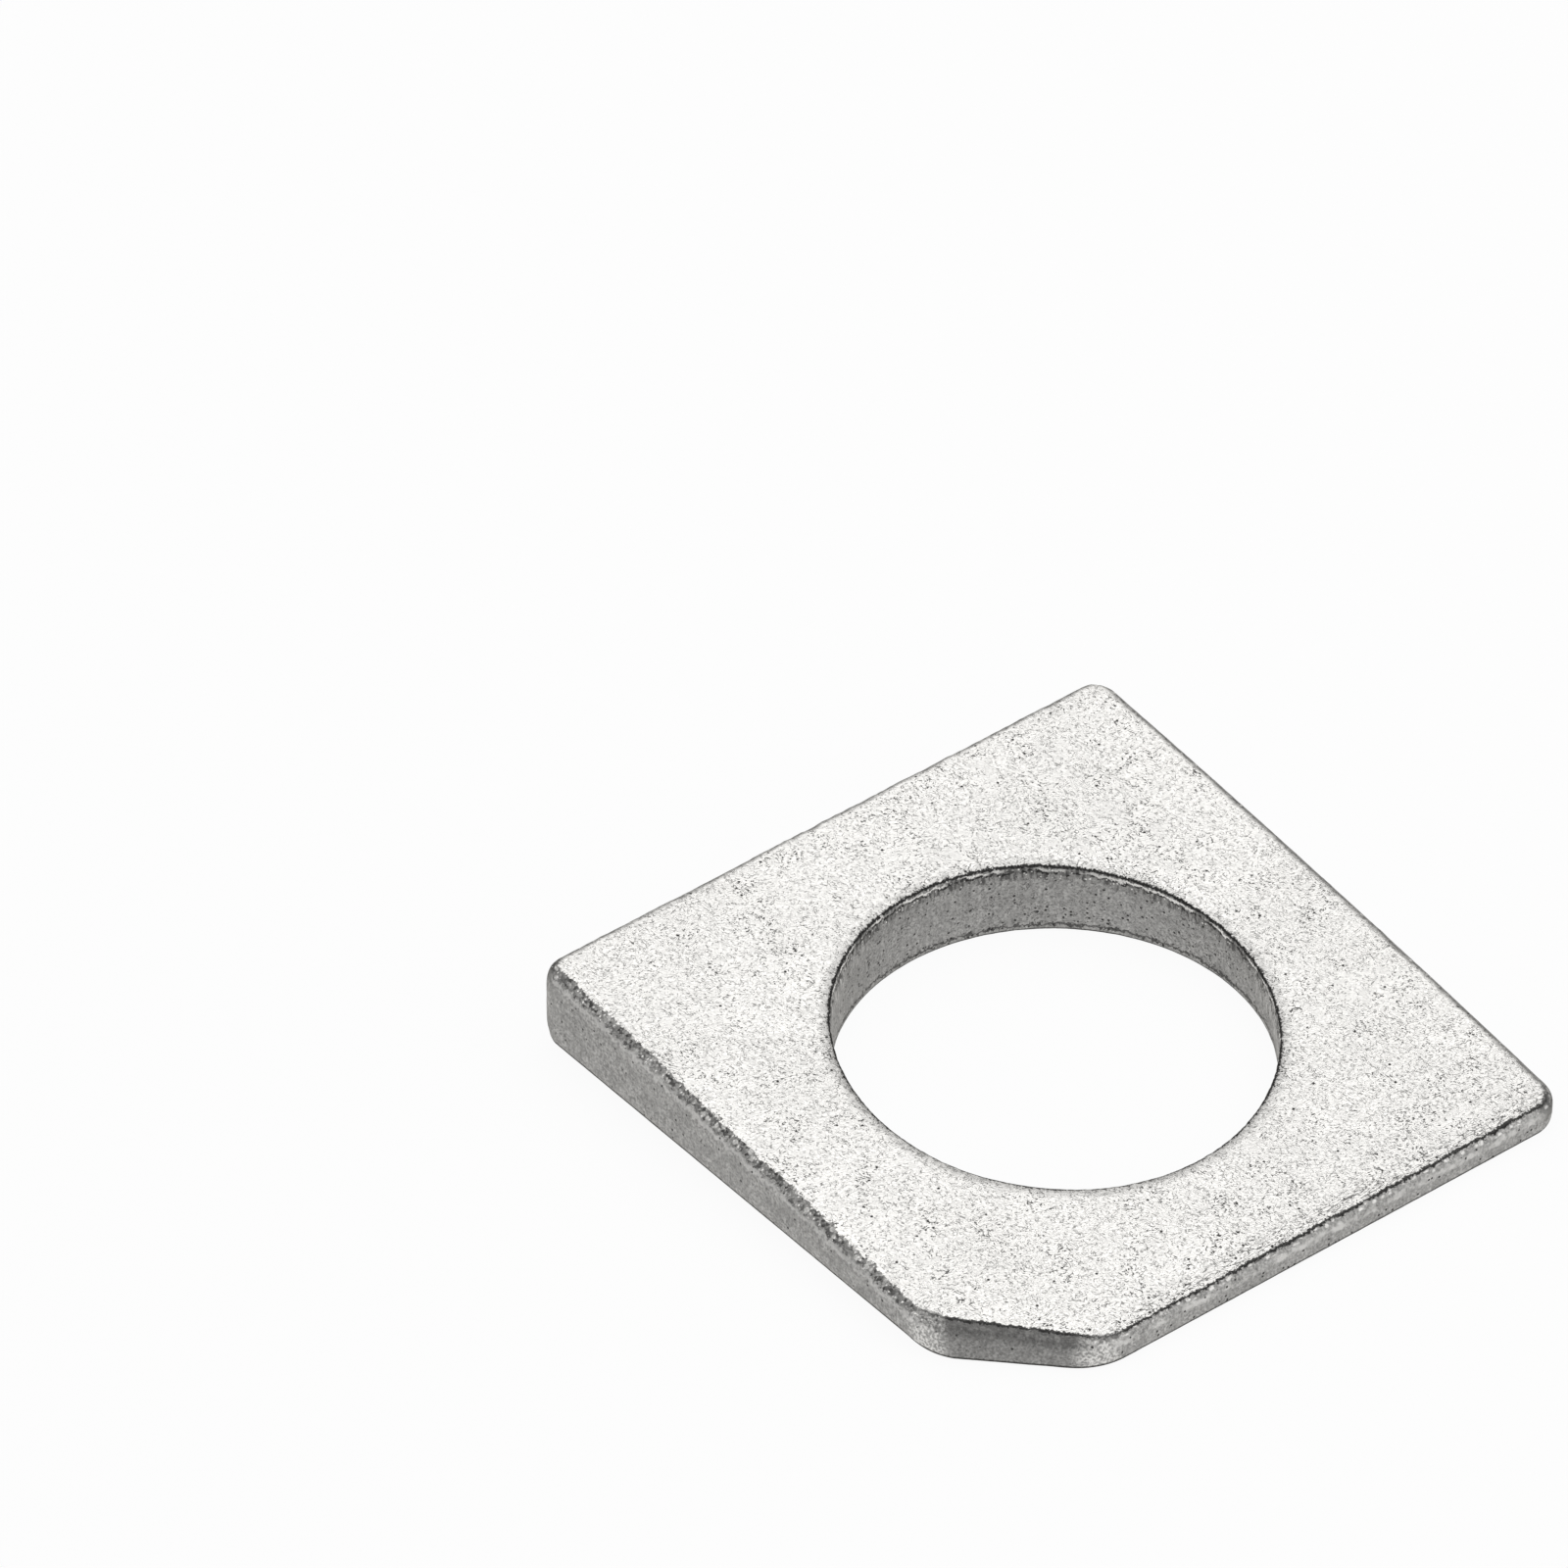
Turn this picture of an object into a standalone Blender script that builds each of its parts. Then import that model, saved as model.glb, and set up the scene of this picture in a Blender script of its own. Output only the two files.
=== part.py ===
"""Square taper washer: a square blank whose top face falls from a thick edge to a thin one, with a punched
bolt hole and one corner cut off.

Metres, +Z up. The origin is in the plane of the bottom face, at the middle of the blank's length and width.
+X runs down the slope from the thick edge to the thin edge, and the cut corner is at +X, -Y.
"""

import math
from collections import namedtuple

import bmesh
import bpy
from mathutils import Matrix, Vector

# Square blank. Its width is measured over the bowed far side
SIDE_X = 0.050
SIDE_Y = 0.0490
THIN_HEIGHT = 0.0021
SLOPE = 0.10

# Corners of the square in plan, each named by the edge and the side that meet there
THICK_NEAR_RADIUS = 0.0021
THICK_FAR_RADIUS = 0.0021
THIN_FAR_RADIUS = 0.0025
CUT_LENGTH_X = 0.0085
CUT_LENGTH_Y = 0.0083
CUT_NEAR_RADIUS = 0.0045
CUT_THIN_RADIUS = 0.0052
ARC_STEP = math.radians(7.5)

# The hole lies nearer to the far side, and the punch has pushed that side outward
HOLE_DIAMETER = 0.0300
HOLE_Y = 0.0003
HOLE_SIDES = 96
FAR_SIDE_BOW = 0.00025
BOW_STEPS = 12

# The thick edge is crowned all the way up: how far in its rims reach, and how far down or up
THICK_TOP_INSET = 0.0014
THICK_TOP_DROP = 0.0034
THICK_BOTTOM_INSET = 0.0022
THICK_BOTTOM_RISE = 0.0032

# Rounding of the other rims around the outside
NEAR_TOP_RADIUS = 0.00095
NEAR_BOTTOM_RADIUS = 0.0014
CUT_TOP_RADIUS = 0.00115
CUT_BOTTOM_RADIUS = 0.0004
THIN_TOP_RADIUS = 0.0006
THIN_BOTTOM_RADIUS = 0.0004
FAR_TOP_RADIUS = 0.0010
FAR_BOTTOM_RADIUS = 0.0010
RIM_SEGMENTS = 6

# Draw-in of the metal at the hole's mouth, and the small break at its lower rim
DRAW_WIDTH = 0.0016
DRAW_DEPTH = 0.00032
DRAW_STEPS = 8
DRAW_END = math.radians(76)
BREAK_RADIUS = 0.00030
BREAK_STEPS = 4

# How far a cutting shape runs past the metal
CUT_MARGIN = 0.003
WELD_DISTANCE = 0.00001

# The smallest radius in plan that a corner keeps on the flat faces, inside the rims
LEAST_INNER_RADIUS = 0.0004

# Plated surface
ZINC_COLOUR = (0.80, 0.79, 0.77)
ZINC_ROUGHNESS = 0.38
SHARP_EDGE_ANGLE = math.radians(30)

RIGHT_ANGLE = math.pi / 2

# A side of the blank: how far in its rims reach on the top and bottom faces, and how far down and up the side
Side = namedtuple("Side", "top_inset top_drop bottom_inset bottom_rise")

# A corner in plan: where its sides meet, its radius, and the side that ends there
Corner = namedtuple("Corner", "position radius side")

# A place on the outline in plan: its points on the upright side and where the rims meet the two faces, the rims'
# reach down and up, and the outward direction
Station = namedtuple("Station", "point top_edge bottom_edge top_drop bottom_rise outward")


def top_height(x):
    """Height of the sloping top face's plane at x."""
    return THIN_HEIGHT + SLOPE * (SIDE_X / 2 - x)


def remove_everything():
    for leftover in list(bpy.data.objects):
        bpy.data.objects.remove(leftover, do_unlink=True)


def new_collection(name):
    collection = bpy.data.collections.new(name)
    bpy.context.scene.collection.children.link(collection)
    return collection


def metal(name, colour, roughness):
    material = bpy.data.materials.new(name)
    material.use_nodes = True
    surface = material.node_tree.nodes["Principled BSDF"]
    surface.inputs["Base Color"].default_value = (*colour, 1.0)
    surface.inputs["Metallic"].default_value = 1.0
    surface.inputs["Roughness"].default_value = roughness
    return material


def round_rims(top_radius, bottom_radius):
    """A side whose rims are quarter circles."""
    return Side(top_radius, top_radius, bottom_radius, bottom_radius)


def plan_corners():
    """The square's corners, anticlockwise from the thick near one."""
    x = SIDE_X / 2
    y = SIDE_Y / 2
    far_y = y - FAR_SIDE_BOW
    thick = Side(THICK_TOP_INSET, THICK_TOP_DROP, THICK_BOTTOM_INSET, THICK_BOTTOM_RISE)
    near = round_rims(NEAR_TOP_RADIUS, NEAR_BOTTOM_RADIUS)
    cut = round_rims(CUT_TOP_RADIUS, CUT_BOTTOM_RADIUS)
    thin = round_rims(THIN_TOP_RADIUS, THIN_BOTTOM_RADIUS)
    far = round_rims(FAR_TOP_RADIUS, FAR_BOTTOM_RADIUS)
    return [
        Corner(Vector((-x, -y)), THICK_NEAR_RADIUS, thick),
        Corner(Vector((x - CUT_LENGTH_X, -y)), CUT_NEAR_RADIUS, near),
        Corner(Vector((x, -y + CUT_LENGTH_Y)), CUT_THIN_RADIUS, cut),
        Corner(Vector((x, far_y)), THIN_FAR_RADIUS, thin),
        Corner(Vector((-x, far_y)), THICK_FAR_RADIUS, far),
    ]


def corner_arc(position, normals, arriving_inset, leaving_inset, full_radius):
    """Points round one corner after both of its sides have moved in, each by its own inset."""
    radius = max(full_radius - max(arriving_inset, leaving_inset), LEAST_INNER_RADIUS)
    to_centre = Vector((arriving_inset + radius, leaving_inset + radius))
    centre = position - Matrix((normals[0], normals[-1])).inverted() @ to_centre
    return [centre + normal * radius for normal in normals]


def corner_stations(before, corner, after):
    """Stations round one corner's arc. The rims' heights pass evenly from one side's to the next side's."""
    arriving = (corner.position - before.position).normalized()
    leaving = (after.position - corner.position).normalized()
    turn = -arriving.angle_signed(leaving)
    outward = Vector((arriving.y, -arriving.x))
    steps = math.ceil(turn / ARC_STEP)
    normals = [Matrix.Rotation(turn * step / steps, 2) @ outward for step in range(steps + 1)]
    here, there = corner.side, after.side
    points = corner_arc(corner.position, normals, 0.0, 0.0, corner.radius)
    top_edge = corner_arc(corner.position, normals, here.top_inset, there.top_inset, corner.radius)
    bottom_edge = corner_arc(corner.position, normals, here.bottom_inset, there.bottom_inset, corner.radius)
    stations = []
    for step, normal in enumerate(normals):
        share = step / steps
        drop = here.top_drop + (there.top_drop - here.top_drop) * share
        rise = here.bottom_rise + (there.bottom_rise - here.bottom_rise) * share
        stations.append(Station(points[step], top_edge[step], bottom_edge[step], drop, rise, normal))
    return stations


def bowed_stations(start, end):
    """Stations between two corner arcs on a shallow parabola that stands out by FAR_SIDE_BOW."""
    stations = []
    for step in range(1, BOW_STEPS):
        share = step / BOW_STEPS
        stand_out = start.outward * FAR_SIDE_BOW * (1 - (2 * share - 1) ** 2)
        point = start.point.lerp(end.point, share) + stand_out
        top_edge = start.top_edge.lerp(end.top_edge, share) + stand_out
        bottom_edge = start.bottom_edge.lerp(end.bottom_edge, share) + stand_out
        stations.append(Station(point, top_edge, bottom_edge, start.top_drop, start.bottom_rise, start.outward))
    return stations


def plan_stations():
    """Stations once round the blank, anticlockwise from above, with the far side bowed out."""
    corners = plan_corners()
    arcs = []
    for index, corner in enumerate(corners):
        after = corners[(index + 1) % len(corners)]
        arcs.append(corner_stations(corners[index - 1], corner, after))
    thin_far, thick_far = arcs[-2:]
    thin_far.extend(bowed_stations(thin_far[-1], thick_far[0]))
    return [station for arc in arcs for station in arc]


def bottom_loop(stations, angle):
    """The loop round the bottom rim at an angle from the flat face, 0, to the upright side, a right angle."""
    loop = []
    for station in stations:
        place = station.point.lerp(station.bottom_edge, 1 - math.sin(angle))
        loop.append((place.x, place.y, station.bottom_rise * (1 - math.cos(angle))))
    return loop


def top_loop(stations, angle):
    """The loop round the top rim at an angle from the upright side, 0, to the sloping face, a right angle."""
    loop = []
    for station in stations:
        place = station.point.lerp(station.top_edge, 1 - math.cos(angle))
        drop = station.top_drop * (1 - math.sin(angle))
        loop.append((place.x, place.y, top_height(place.x) - drop))
    return loop


def lofted_blank(collection):
    """The blank as a loft of closed loops, round the bottom rim, up the side and round the top rim, with its
    first and last loops filled flat."""
    stations = plan_stations()
    angles = [RIGHT_ANGLE * step / RIM_SEGMENTS for step in range(RIM_SEGMENTS + 1)]
    outlines = [bottom_loop(stations, angle) for angle in angles]
    outlines += [top_loop(stations, angle) for angle in angles]
    shape = bmesh.new()
    loops = [[shape.verts.new(place) for place in outline] for outline in outlines]
    for lower, upper in zip(loops, loops[1:]):
        for index in range(len(stations)):
            shape.faces.new((lower[index - 1], lower[index], upper[index], upper[index - 1]))
    shape.faces.new(reversed(loops[0]))
    shape.faces.new(loops[-1])
    mesh = bpy.data.meshes.new("taper_washer")
    shape.to_mesh(mesh)
    shape.free()
    blank = bpy.data.objects.new("taper_washer", mesh)
    collection.objects.link(blank)
    return blank


def turned_cutter(name, profile, placement, collection):
    """A profile of (radius, height) pairs turned about the local Z axis. It starts and ends on the axis and
    runs from the top down."""
    mesh = bpy.data.meshes.new(name)
    points = [(radius, 0.0, height) for radius, height in profile]
    mesh.from_pydata(points, [(i, i + 1) for i in range(len(points) - 1)], [])
    cutter = bpy.data.objects.new(name, mesh)
    cutter.matrix_world = placement
    collection.objects.link(cutter)
    turning = cutter.modifiers.new("turned", "SCREW")
    turning.axis = "Z"
    turning.steps = HOLE_SIDES
    turning.render_steps = HOLE_SIDES
    turning.use_merge_vertices = True
    turning.merge_threshold = WELD_DISTANCE
    return cutter


def hide_helper(helper):
    helper.hide_render = True
    helper.display_type = "WIRE"


def add_boolean(target, operation, other):
    modifier = target.modifiers.new(other.name, "BOOLEAN")
    modifier.operation = operation
    modifier.solver = "EXACT"
    modifier.object = other
    return modifier


def hole_profile():
    """From the axis above the washer, down the straight wall, out round the break at the lower rim, and back
    to the axis below it."""
    radius = HOLE_DIAMETER / 2
    above = top_height(-SIDE_X / 2) + CUT_MARGIN
    profile = [(0.0, above), (radius, above)]
    for step in range(BREAK_STEPS + 1):
        angle = RIGHT_ANGLE * step / BREAK_STEPS
        outward = radius + BREAK_RADIUS * (1 - math.cos(angle))
        profile.append((outward, BREAK_RADIUS * (1 - math.sin(angle))))
    profile.append((radius + BREAK_RADIUS, -CUT_MARGIN))
    profile.append((0.0, -CUT_MARGIN))
    return profile


def draw_profile():
    """The drawn-in mouth, with heights from the sloping face: a quarter ellipse that leaves the face flat and
    steepens towards the wall, carried on in a straight line into the open hole."""
    radius = HOLE_DIAMETER / 2
    edge = radius + DRAW_WIDTH
    curve = []
    for step in range(1, DRAW_STEPS + 1):
        angle = DRAW_END * step / DRAW_STEPS
        curve.append((edge - DRAW_WIDTH * math.sin(angle), DRAW_DEPTH * (math.cos(angle) - 1)))
    first_slope = curve[0][1] / (edge - curve[0][0])
    last_slope = (curve[-1][1] - curve[-2][1]) / (curve[-2][0] - curve[-1][0])
    outside = (edge + DRAW_WIDTH, -first_slope * DRAW_WIDTH)
    above = (edge + DRAW_WIDTH, CUT_MARGIN)
    in_open_hole = radius - DRAW_WIDTH
    inside = (in_open_hole, curve[-1][1] + last_slope * (curve[-1][0] - in_open_hole))
    return [(0.0, CUT_MARGIN), above, outside, *curve, inside, (0.0, inside[1])]


def punch_hole(blank, cutters):
    upright = Matrix.Translation((0.0, HOLE_Y, 0.0))
    hole = turned_cutter("hole", hole_profile(), upright, cutters)
    square_to_face = Matrix.Rotation(math.atan(SLOPE), 4, "Y")
    mouth_place = Matrix.Translation((0.0, HOLE_Y, top_height(0.0))) @ square_to_face
    mouth = turned_cutter("drawn_mouth", draw_profile(), mouth_place, cutters)
    hide_helper(hole)
    hide_helper(mouth)
    add_boolean(hole, "UNION", mouth)
    add_boolean(blank, "DIFFERENCE", hole)


def main():
    remove_everything()
    parts = new_collection("square_taper_washer")
    cutters = new_collection("cutters")
    washer = lofted_blank(parts)
    punch_hole(washer, cutters)
    washer.data.materials.append(metal("zinc_plated_steel", ZINC_COLOUR, ZINC_ROUGHNESS))
    washer.data.shade_smooth()
    washer.data.set_sharp_from_angle(angle=SHARP_EDGE_ANGLE)


main()
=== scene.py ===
"""Square taper washer in zinc plated steel, dressed over its plain solid.

The frame is the solid's: metres, +Z up, the origin in the plane of the bottom face at the middle of the
blank, +X down the slope from the thick edge to the thin edge, the cut corner at +X, -Y. Shapes are worked out
in millimetres and put into meshes in metres.
"""

import math

import bpy
import numpy as np
from mathutils import Matrix, Vector


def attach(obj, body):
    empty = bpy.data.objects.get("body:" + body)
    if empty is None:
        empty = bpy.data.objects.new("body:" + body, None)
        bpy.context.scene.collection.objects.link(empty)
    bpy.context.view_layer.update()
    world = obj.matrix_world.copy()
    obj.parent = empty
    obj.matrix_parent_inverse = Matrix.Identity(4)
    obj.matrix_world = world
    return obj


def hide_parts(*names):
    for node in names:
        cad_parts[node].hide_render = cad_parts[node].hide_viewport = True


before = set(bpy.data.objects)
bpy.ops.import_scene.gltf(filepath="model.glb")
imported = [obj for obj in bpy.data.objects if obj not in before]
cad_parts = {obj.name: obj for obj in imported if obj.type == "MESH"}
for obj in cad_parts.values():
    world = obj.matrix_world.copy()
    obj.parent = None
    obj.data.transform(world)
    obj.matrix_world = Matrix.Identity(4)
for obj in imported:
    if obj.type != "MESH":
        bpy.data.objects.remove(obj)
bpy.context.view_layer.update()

MM = 0.001

# Camera: where it stands as seen from the washer, how far its axis passes beside the origin, and its lens
CAMERA_AZIMUTH = math.radians(51.3362)
CAMERA_ELEVATION = math.radians(40.1675)
CAMERA_ROLL = math.radians(0.028)
CAMERA_DISTANCE = 1.24397
CAMERA_RIGHT = -0.01793
CAMERA_UP = 0.019735
CAMERA_LENS = 425.315
SENSOR_WIDTH = 36.0

# Lamps: the direction each shines from, its distance, width and length in metres, and its radiance
LAMPS = {
    "overhead": ((-0.17, 0.19, 0.97), 0.60, 1.0, 1.0, 0.90),
    "top_fill": ((-0.08, 0.08, 0.99), 0.70, 0.5, 0.5, 0.14),
    "right_fill": ((0.72, 0.36, 0.60), 0.80, 0.80, 0.60, 0.75),
    "left_fill": ((-0.62, -0.66, 0.42), 0.80, 0.60, 0.40, 0.40),
}
WORLD_GREY = 0.26

# Floor, in metres: half its width, the radius at which it starts to rise, and how fast
FLOOR_REACH = 2.2
FLOOR_STEPS = 89
SWEEP_RADIUS = 1.2
FLOOR_RISE = 0.6
FLOOR_GAP = 0.00002
FLOOR_GREY = 0.9
# How much of what a camera or a reflection sees of the floor is plain white
FLOOR_WHITE = 0.94

# Blank
SIDE_X = 50.0
THIN_HEIGHT = 2.1
SLOPE = 0.10
FAR_SIDE_BOW = 0.25
# Height that no point of the skin passes, just under the solid's top
TALLEST = 6.955

# Hole
HOLE_RADIUS = 15.0
HOLE_CENTRE = np.array((0.0, 0.3))
DRAW_WIDTH = 1.6
DRAW_DEPTH = 0.32
BREAK_RADIUS = 0.30

# Sides, each named by where it lies and listed with the corner at which it ends, anticlockwise
THICK, NEAR, CUT, THIN, FAR = range(5)
CORNERS = np.array(((-25.0, -24.5), (16.5, -24.5), (25.0, -16.2), (25.0, 24.25), (-25.0, 24.25)))
PLAN_RADIUS = np.array((2.1, 4.5, 5.2, 2.5, 2.1))
# How far in the rims reach on the top and bottom faces, and how far down and up the side
TOP_INSET = np.array((1.4, 0.95, 1.15, 0.6, 1.0))
TOP_DROP = np.array((3.4, 0.95, 1.15, 0.6, 1.0))
BOTTOM_INSET = np.array((2.2, 1.4, 0.4, 0.4, 1.0))
BOTTOM_RISE = np.array((3.2, 1.4, 0.4, 0.4, 1.0))
LEAST_INSET_RADIUS = 0.4
# How ragged the top face's edge is along each side, as a share of the rim
RAGGED = np.array((0.05, 0.14, 0.04, 0.10, 0.06))
# How far out over the rim, and up from the top of the hole's wall, the top face is taken to end
WALL_START = np.array((0.22, 0.0, 0.0, 0.0, 0.32))
MOUTH_EDGE = 0.45
# How far down the torn band reaches from there, along each side and round the hole
TORN_REACH = np.array((0.35, 0.95, 1.35, 0.34, 0.35))
BORE_TORN_REACH = 1.45
# Height of the line of painted shade along the foot of each side, near where that side turns out of the
# camera's sight, and of the hole's wall
FOOT_SHADE_LINE = np.array((2.2, 0.98, 0.34, 0.34, 0.60))
BORE_FOOT_SHADE_LINE = 0.24

# Stations round each corner's arc and along the side that follows it
ARC_STATIONS = (30, 26, 26, 24, 24)
SIDE_STATIONS = (260, 90, 200, 150, 150)

# Rows of the section, from the hole's lower rim up the wall, over the top and back under the bottom
BREAK_ROWS = 4
WALL_ROWS = 18
DRAW_ROWS = 12
TOP_ROWS = 24
RIM_ROWS = 18
SIDE_ROWS = 14
FOOT_ROWS = 5
BOTTOM_ROWS = 3
# Power by which the wall's rows crowd towards its top
WALL_CROWDING = 1.6

# Cells after which the relief's noise repeats
LATTICE = 64
# Noises of the relief: the share or the depth of each, its cell size in millimetres, and its seed
RAGGED_EDGE = ((1.0, 1.5, 11), (0.8, 0.5, 12))
TORN_BORDER = ((0.28, 1.3, 21), (0.22, 0.4, 22))
CRYSTALS = ((0.6, 0.55, 31), (0.5, 0.26, 32))
NIBBLE_BORDER = ((0.35, 0.45, 33),)
NIBBLES = ((0.028, 0.3, 34),)
ROLLED_WAVES = ((0.006, 9.0, 41), (0.002, 2.6, 42))
EDGE_WRINKLES = ((1.0, 0.42, 51),)
WALL_DENTS = ((0.010, 0.7, 61), (0.006, 0.3, 62))
# Least depth of the torn band, what its crystals add, and the depth and the drawing out of the wrinkles
TORN_DEPTH = 0.05
CRYSTAL_DEPTH = 0.075
WRINKLE_DEPTH = 0.007
WRINKLE_STRETCH = np.array((1.0, 0.22, 1.0))
# Where relief sets in and dies away, in millimetres from the top face's edge outwards and down
TORN_SETS_IN = (0.12, 0.45)
NIBBLE_SETS_IN = (-0.55, 0.05)
NIBBLE_DIES = (0.3, 0.9)
# The same inwards from that edge, and as a share of the torn band's reach
WRINKLE_DIES = (0.6, 3.0)
TORN_DIES = (0.85, 1.02)

# Marks of the skin's points that the material reads, which washer() explains
MARKS = ("bore", "skirt", "reach", "foot", "corner", "thin", "glint", "dusk", "back")

# Noises of the finish: cells a metre, layers of finer noise, twist, how far it is drawn out along each axis,
# and how many degrees that is turned about the upright
NOISES = {
    "coarse": (2400.0, 2.0),
    "fine": (6500.0, 2.0),
    "leaning": (700.0, 1.0),
    "folds": (7400.0, 0.0, 0.5, (2.3, 1.0, 1.0), 76.0),
    "leaning_folds": (7400.0, 0.0, 0.5, (2.3, 1.0, 1.0), 28.0),
    "broken": (3500.0, 0.0),
    "crowd": (420.0, 1.5),
    "calm": (640.0, 1.0, 0.5),
    "hair": (8500.0, 0.0, 0.5, (2.2, 1.0, 1.0), 48.0),
    "wrinkle": (5200.0, 0.0, 0.0, (1.0, 4.5, 1.0), 0.0),
    "wander": (1300.0, 2.0),
    "patchy": (480.0, 2.0),
    "streak": (3800.0, 2.0, 0.0, (1.0, 1.0, 4.0), 0.0),
    "patch": (120.0, 2.0),
    "speckle": (5200.0, 3.0),
    "wall_patch": (800.0, 3.0),
}
# Cells of the finish: how many a metre
CELLS = {"face_pits": 1900.0, "wall_pits": 2600.0, "crystals": 4600.0, "bead_highlights": 2100.0}

# Limits between which a noise, which runs from 0 to 1, takes a mark from none to full
LEANING = (0.46, 0.54)
BROKEN = (0.44, 0.51)
DENSE = (0.36, 0.66)
CLUSTERED = (0.50, 0.62)
CALM = (0.63, 0.69)
PATCHY = (0.42, 0.54)
BRIGHT_PATCH = (0.28, 0.60)
DULL_WALL_PATCH = (0.40, 0.65)
THIN_EDGE_PATCH = (0.38, 0.60)
LIGHT_SPECKLE = (0.30, 0.70)
GLINT_SPECKLE = (0.42, 0.60)
LIGHT_STREAK = (0.38, 0.62)
END_HIGHLIGHT_STREAK = (0.46, 0.60)
# The same for how far a noise is from its middle, which takes a mark from full to none
STROKE_WIDTH = (0.014, 0.045)
GROOVE_WIDTH = (0.0, 0.080)
HAIR_WIDTH = (0.012, 0.050)
WRINKLE_WIDTH = (0.012, 0.060)
# The same for the distance from a cell's middle, in cells
FACE_PIT_SIZE = (0.13, 0.23)
WALL_PIT_SIZE = (0.14, 0.30)
SPARK_SIZE = (0.15, 0.45)
BEAD_SIZE = (0.34, 0.56)

# Borders of the finish, as where it sets in and where it is full, and bands of it, as where one starts and
# ends and how soft both are. These are in millimetres from the top face's edge outwards and down
WALL_BORDER = (0.08, 0.20)
DRAW_SHADE_BORDER = (-0.9, 0.25)
CORNER_SHADE_BORDER = (0.2, 1.7)
GLINT_BORDER = (0.2, 0.7)
CREASE_SHADE_BAND = (-0.03, 0.25, 0.04)
LIP_HIGHLIGHT_BAND = (-0.24, -0.07, 0.05)
THIN_BEAD_BAND = (0.26, 0.60, 0.06)
THIN_WRINKLE_BAND = (-1.3, -0.05, 0.3)
THIN_HIGHLIGHT_BAND = (0.75, 1.25, 0.15)
ARC_SHADE_BAND = (-0.05, 1.5, 0.15)
BACK_RIM_SHADE_BAND = (-0.05, 0.75, 0.15)
MOUTH_SHADE_BAND = (0.14, 0.34, 0.05)
LOWER_MOUTH_SHADE_BAND = (0.62, 0.86, 0.05)
MOUTH_HIGHLIGHT_BAND = (0.46, 0.66, 0.05)
END_HIGHLIGHT_BAND = (0.6, 2.4, 0.4)
# As shares of the torn band's reach
TORN_BORDER_BELOW = (0.80, 0.98)
RIDGE_HIGHLIGHT_BAND = (1.00, 1.34, 0.12)
# As heights in millimetres, over the bottom face and over the foot's line of painted shade
BURR_BAND = (0.48, 0.70, 0.04)
FOOT_SHADE_BORDER = (-0.06, 0.10)
FOOT_SHADE_FADE = (-0.70, -0.20)
# In metres, down the slope, and sideways from the hole's middle as the camera sees it
NEAR_THIN_EDGE = (0.0165, 0.0240)
MIDDLE_OF_SLOPE = (-0.015, 0.015)
BESIDE_MIDDLE = (0.0015, 0.0060)
ENDS_OF_HOLE = (0.0128, 0.0148)
SIDEWAYS = (0.625, 0.781)
# In how far a side counts as one of the two at the back
BACK_BORDER = (0.60, 0.95)

# Greys of the metal
DULL_FACE, BRIGHT_FACE, CALM_FACE = 0.91, 1.0, 0.88
# The walls' greys are darker than the face's, partly for their rougher sheared metal and partly as painted
# shade, for the shadowed floor beside the washer that the walls would reflect
DARK_WALL, LIGHT_WALL = 0.265, 0.585
DARK_CRYSTAL, LIGHT_CRYSTAL = 0.08, 0.52
DARK_DRAG, LIGHT_DRAG = 0.13, 0.36
# Of these greys, those for the slope into the hole, the hole's wall, the back rims, the two dark corners, the
# cut corner and the dark lines are painted shade, and those for the band below the torn band, the band on the
# thin edge, the glint, the sparks and the bright lines are painted highlights
DRAW_SHADE_GREY, PATCH_GREY, BORE_SHADE_GREY, BACK_RIM_SHADE_GREY = 0.30, 0.28, 0.24, 0.20
STROKE_GREY, WALL_STROKE_GREY, SHADE_GREY, ARC_SHADE_GREY, PIT_GREY = 0.06, 0.08, 0.08, 0.06, 0.06
RIDGE_HIGHLIGHT_GREY, THIN_HIGHLIGHT_GREY, GLINT_GREY, SPARK_GREY = 0.66, 0.66, 0.82, 0.97
SHADE_LINE_GREY, HIGHLIGHT_GREY = 0.03, 0.95
# The grey that tints what it reflects at a glancing angle, and the scale of its fine relief, in metres
GLANCING_GREY = 0.75
BUMP_HEIGHT = 0.00013


def blend(low, high, value):
    """From 0 at low to 1 at high, along 3t2 - 2t3."""
    t = np.clip((value - low) / (high - low), 0.0, 1.0)
    return t * t * (3.0 - 2.0 * t)


def noise(points, size, seed):
    """Smooth noise from -1 to 1: random values on a cubic lattice of the given cell size, which repeats after
    LATTICE cells, blended across each cell along 3t2 - 2t3."""
    values = np.random.default_rng(seed).uniform(-1.0, 1.0, (LATTICE, LATTICE, LATTICE))
    place = points / np.asarray(size)
    low = np.floor(place)
    t = place - low
    t = t * t * (3.0 - 2.0 * t)
    low = low.astype(int)
    total = np.zeros(points.shape[:-1])
    for corner in np.ndindex(2, 2, 2):
        share = np.prod(np.where(corner, t, 1.0 - t), axis=-1)
        i, j, k = np.moveaxis((low + corner) % LATTICE, -1, 0)
        total += share * values[i, j, k]
    return total


def layered(points, layers, form=lambda value: value):
    """The sum of several noises, each put through the form and multiplied by its share."""
    return sum(share * form(noise(points, size, seed)) for share, size, seed in layers)


def pressed_in(value):
    """A noise from -1 to 1 as a depth from 0 to 2."""
    return 1 + value


def top_height(x):
    """Height of the sloping top face's plane: the thin height plus the slope times the way up from it."""
    return THIN_HEIGHT + SLOPE * (SIDE_X / 2 - x)


def stations(values):
    """Values for each side as one for each station: constant along a side, passing evenly round an arc."""
    values = np.asarray(values, float)
    rows = []
    for i in range(5):
        after = values[(i + 1) % 5]
        t = np.linspace(0.0, 1.0, ARC_STATIONS[i]).reshape((-1,) + (1,) * after.ndim)
        rows += [values[i] * (1 - t) + after * t, np.broadcast_to(after, (SIDE_STATIONS[i],) + after.shape)]
    return np.concatenate(rows)


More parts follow.
